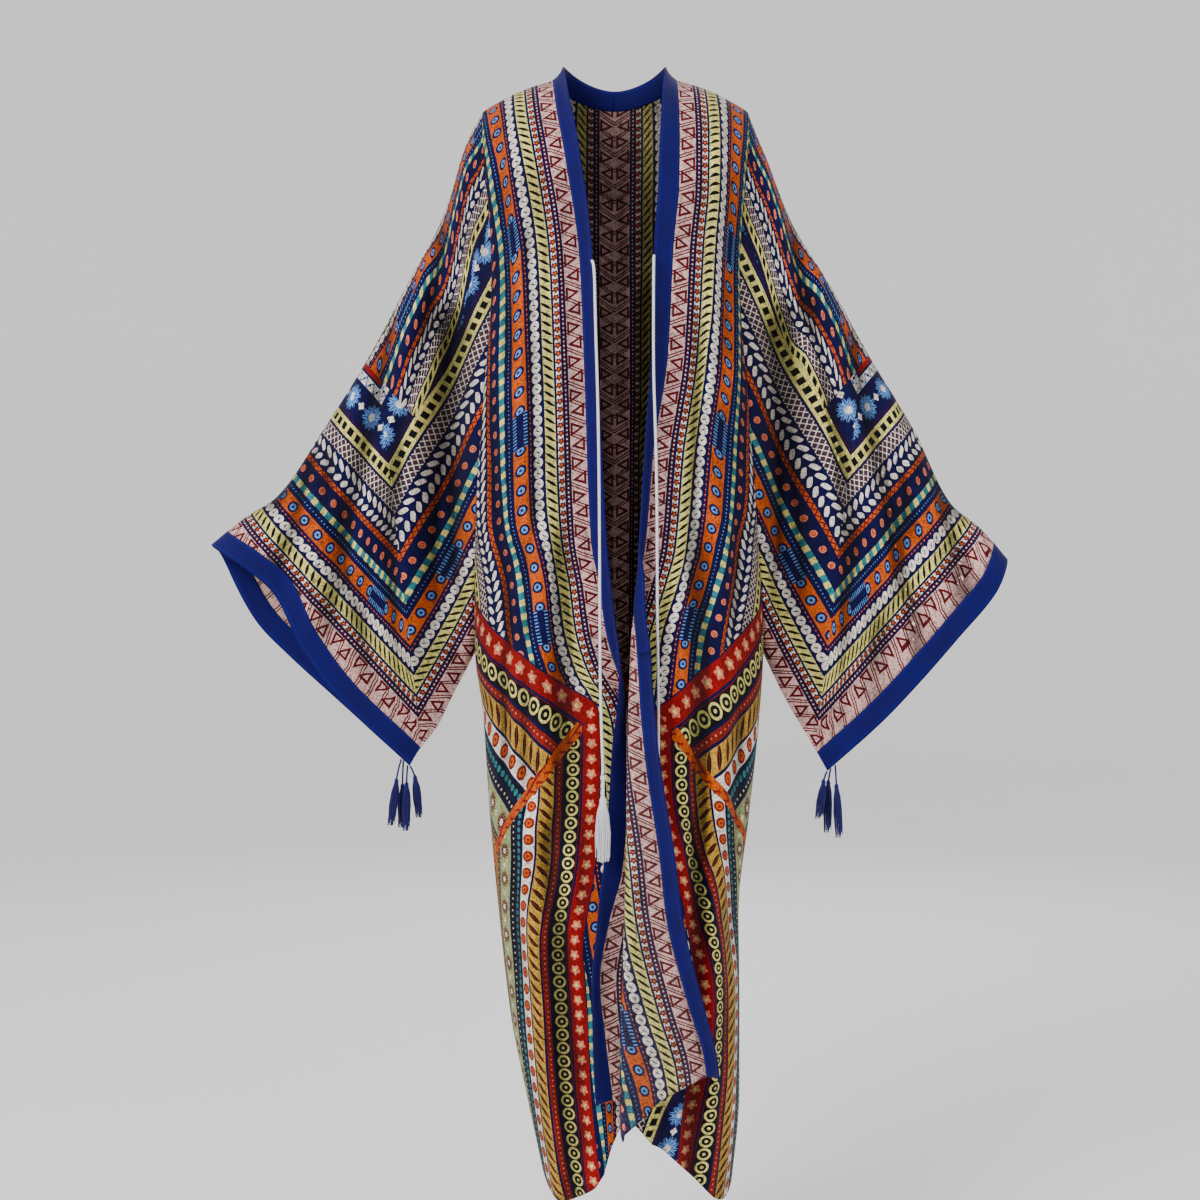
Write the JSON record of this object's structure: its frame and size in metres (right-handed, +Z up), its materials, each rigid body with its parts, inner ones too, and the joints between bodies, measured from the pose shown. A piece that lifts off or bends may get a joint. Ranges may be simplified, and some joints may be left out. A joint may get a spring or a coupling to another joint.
{
  "type": "long open kimono jacket",
  "caption": "Long open kimono jacket in printed crepe, with wide hanging sleeves, blue bands, white tie cords and blue sleeve tassels, in its worn shape.",
  "frame": {"origin": "on the wearer's shoulder line at the nape, where the worn garment is held up", "axes": "+X towards the wearer's left, +Y towards the back, +Z up; the open front faces -Y"},
  "size_m": [0.9263, 0.2876, 1.3145],
  "materials": {
    "printed_crepe": "matte light viscose crepe, printed in bands",
    "blue_binding": "matte cobalt blue folded binding",
    "white_cord": "twisted white cotton cord and tassel thread",
    "blue_thread": "cobalt blue tassel thread"
  },
  "bodies": {
    "root": {"back": "printed_crepe", "front_right": "printed_crepe", "front_left": "printed_crepe", "sleeve_front_right": "printed_crepe", "sleeve_back_right": "printed_crepe", "sleeve_front_left": "printed_crepe", "sleeve_back_left": "printed_crepe", "band_right": "blue_binding", "band_left": "blue_binding", "cuff_band_right": "blue_binding", "cuff_band_left": "blue_binding", "tie_right": "white_cord", "tie_left": "white_cord", "tie_tassel_right": "white_cord", "tie_tassel_left": "white_cord", "sleeve_tassel_right_1": "blue_thread", "sleeve_tassel_right_2": "blue_thread", "sleeve_tassel_right_3": "blue_thread", "sleeve_tassel_right_4": "blue_thread", "sleeve_tassel_left_1": "blue_thread", "sleeve_tassel_left_2": "blue_thread", "sleeve_tassel_left_3": "blue_thread"}
  },
  "joints": []
}
